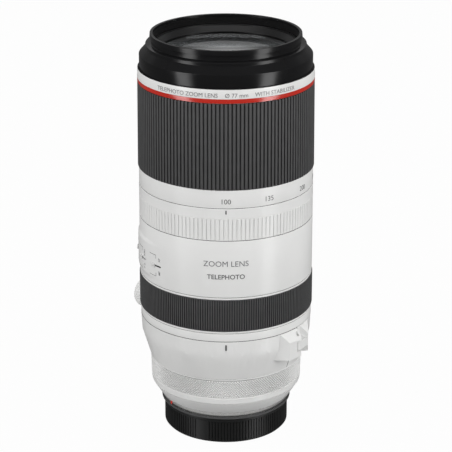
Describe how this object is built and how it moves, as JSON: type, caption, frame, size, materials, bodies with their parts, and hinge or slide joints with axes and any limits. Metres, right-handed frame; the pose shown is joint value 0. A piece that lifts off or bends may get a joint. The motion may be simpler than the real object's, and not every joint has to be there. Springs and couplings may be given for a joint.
{
  "type": "camera zoom lens",
  "caption": "White telephoto zoom lens with ribbed rubber grips, a hinged tripod collar with a foot, side switches and a rear cap, standing on the cap.",
  "frame": {"origin": "centre of the rear cap's underside, on the optical axis", "axes": "+Z along the optical axis towards the front glass, -Y towards the index marks and the distance scale, +Y towards the tripod foot, -X towards the switches"},
  "size_m": [0.0989, 0.1219, 0.221],
  "materials": {
    "white_paint": "satin warm-white enamel",
    "black_shell": "satin black moulded",
    "grip_rubber": "matte ribbed rubber",
    "red_paint": "gloss red enamel",
    "barrel_alloy": "black anodised",
    "mount_steel": "turned bright metal",
    "brass": "plated",
    "lens_glass": "coated optical glass",
    "black_plastic": "fine-textured black moulded",
    "board": "solder mask",
    "felt": "black felt"
  },
  "bodies": {
    "main_barrel": {"rear_cover": "white_paint", "rear_barrel": "white_paint", "switch_barrel": "white_paint", "switch_panel": "white_paint", "tension_pads": "felt", "guide_barrel": "barrel_alloy", "bulkhead": "barrel_alloy", "main_board": "board", "focus_rails": "mount_steel", "focus_motor": "black_plastic", "rear_cell": "barrel_alloy", "rear_glass": "lens_glass", "stabilizer_base": "barrel_alloy", "iris_base": "barrel_alloy", "iris_blades": "black_plastic", "mount_ring": "mount_steel", "mount_screws": "mount_steel", "mount_gasket": "grip_rubber", "contact_block": "black_plastic", "contact_pins": "brass"},
    "zoom_ring": {"zoom_sleeve": "white_paint", "zoom_grip": "grip_rubber", "cam_barrel": "barrel_alloy", "zoom_keys": "mount_steel", "dust_seal": "felt"},
    "front_barrel": {"extension_tube": "white_paint", "front_ring": "black_shell", "name_ring": "white_paint", "red_ring": "red_paint", "front_cell": "black_shell", "front_glass": "lens_glass", "second_glass": "lens_glass", "front_retainer": "black_shell", "cam_rollers": "brass"},
    "variator": {"variator_cell": "barrel_alloy", "variator_glass": "lens_glass"},
    "relay": {"relay_cell": "barrel_alloy", "relay_glass": "lens_glass"},
    "focus_group": {"focus_cell": "barrel_alloy", "focus_glass": "lens_glass"},
    "shift_frame": {"shift_frame": "barrel_alloy"},
    "shift_cell": {"shift_cell": "barrel_alloy", "shift_glass": "lens_glass"},
    "tension_ring": {"tension_ring": "white_paint"},
    "focus_ring": {"focus_sleeve": "white_paint", "focus_grip": "grip_rubber"},
    "control_ring": {"control_ring": "white_paint"},
    "collar_lower": {"collar_lower": "white_paint", "foot_bush": "mount_steel", "collar_liner_lower": "felt", "hinge_pin": "mount_steel"},
    "collar_upper": {"collar_upper": "white_paint", "collar_liner_upper": "felt"},
    "lock_knob": {"lock_knob": "white_paint", "knob_stud": "mount_steel"},
    "rear_cap": {"rear_cap": "black_plastic"},
    "focus_mode_switch": {"focus_mode_switch": "white_paint"},
    "focus_range_switch": {"focus_range_switch": "white_paint"},
    "stabilizer_switch": {"stabilizer_switch": "white_paint"},
    "stabilizer_mode_switch": {"stabilizer_mode_switch": "white_paint"}
  },
  "joints": [
    {"name": "zoom_turn", "type": "hinge", "parent": "main_barrel", "child": "zoom_ring", "pos_m": [0, 0, 0.14], "axis": [0, 0, -1], "range_deg": [0, 118]},
    {"name": "front_slide", "type": "slide", "parent": "main_barrel", "child": "front_barrel", "axis": [0, 0, 1], "range_m": [0, 0.083]},
    {"name": "variator_slide", "type": "slide", "parent": "main_barrel", "child": "variator", "axis": [0, 0, 1], "range_m": [0, 0.022]},
    {"name": "relay_slide", "type": "slide", "parent": "main_barrel", "child": "relay", "axis": [0, 0, 1], "range_m": [0, 0.03]},
    {"name": "tension_turn", "type": "hinge", "parent": "main_barrel", "child": "tension_ring", "pos_m": [0, 0, 0.13], "axis": [0, 0, 1], "range_deg": [0, 40]},
    {"name": "focus_turn", "type": "hinge", "parent": "main_barrel", "child": "focus_ring", "pos_m": [0, 0, 0.08], "axis": [0, 0, 1], "continuous": true},
    {"name": "control_turn", "type": "hinge", "parent": "main_barrel", "child": "control_ring", "pos_m": [0, 0, 0.034], "axis": [0, 0, 1], "continuous": true},
    {"name": "focus_slide", "type": "slide", "parent": "main_barrel", "child": "focus_group", "axis": [0, 0, 1], "range_m": [0, 0.011]},
    {"name": "shift_across", "type": "slide", "parent": "main_barrel", "child": "shift_frame", "axis": [1, 0, 0], "range_m": [-0.0008, 0.0008], "stiffness_N_per_m": 300},
    {"name": "shift_along", "type": "slide", "parent": "shift_frame", "child": "shift_cell", "axis": [0, 1, 0], "range_m": [-0.0008, 0.0008], "stiffness_N_per_m": 300},
    {"name": "collar_turn", "type": "hinge", "parent": "main_barrel", "child": "collar_lower", "pos_m": [0, 0, 0.058], "axis": [0, 0, 1], "continuous": true},
    {"name": "collar_swing", "type": "hinge", "parent": "collar_lower", "child": "collar_upper", "pos_m": [0.0379, -0.02961, 0.0577], "axis": [0, 0, 1], "range_deg": [0, 75]},
    {"name": "knob_turn", "type": "hinge", "parent": "collar_lower", "child": "lock_knob", "pos_m": [-0.03792, 0.03182, 0.06], "axis": [-0.777, 0.6295, 0], "range_deg": [0, 540]},
    {"name": "cap_pull", "type": "slide", "parent": "main_barrel", "child": "rear_cap", "axis": [0, 0, -1], "range_m": [0, 0.04]},
    {"name": "focus_mode_switch_throw", "type": "hinge", "parent": "main_barrel", "child": "focus_mode_switch", "pos_m": [0, 0, 0.1016], "axis": [0, 0, 1], "range_deg": [0, 4.8]},
    {"name": "focus_range_switch_throw", "type": "hinge", "parent": "main_barrel", "child": "focus_range_switch", "pos_m": [0, 0, 0.1016], "axis": [0, 0, 1], "range_deg": [0, 4.8]},
    {"name": "stabilizer_switch_throw", "type": "hinge", "parent": "main_barrel", "child": "stabilizer_switch", "pos_m": [0, 0, 0.1016], "axis": [0, 0, 1], "range_deg": [0, 4.8]},
    {"name": "stabilizer_mode_switch_throw", "type": "hinge", "parent": "main_barrel", "child": "stabilizer_mode_switch", "pos_m": [0, 0, 0.1016], "axis": [0, 0, 1], "range_deg": [0, 4.8]}
  ],
  "couplings": [
    {"joint": "front_slide", "follows": "zoom_turn", "m_per_rad": 0.040301},
    {"joint": "variator_slide", "follows": "zoom_turn", "m_per_rad": 0.010682},
    {"joint": "relay_slide", "follows": "zoom_turn", "m_per_rad": 0.014567}
  ]
}
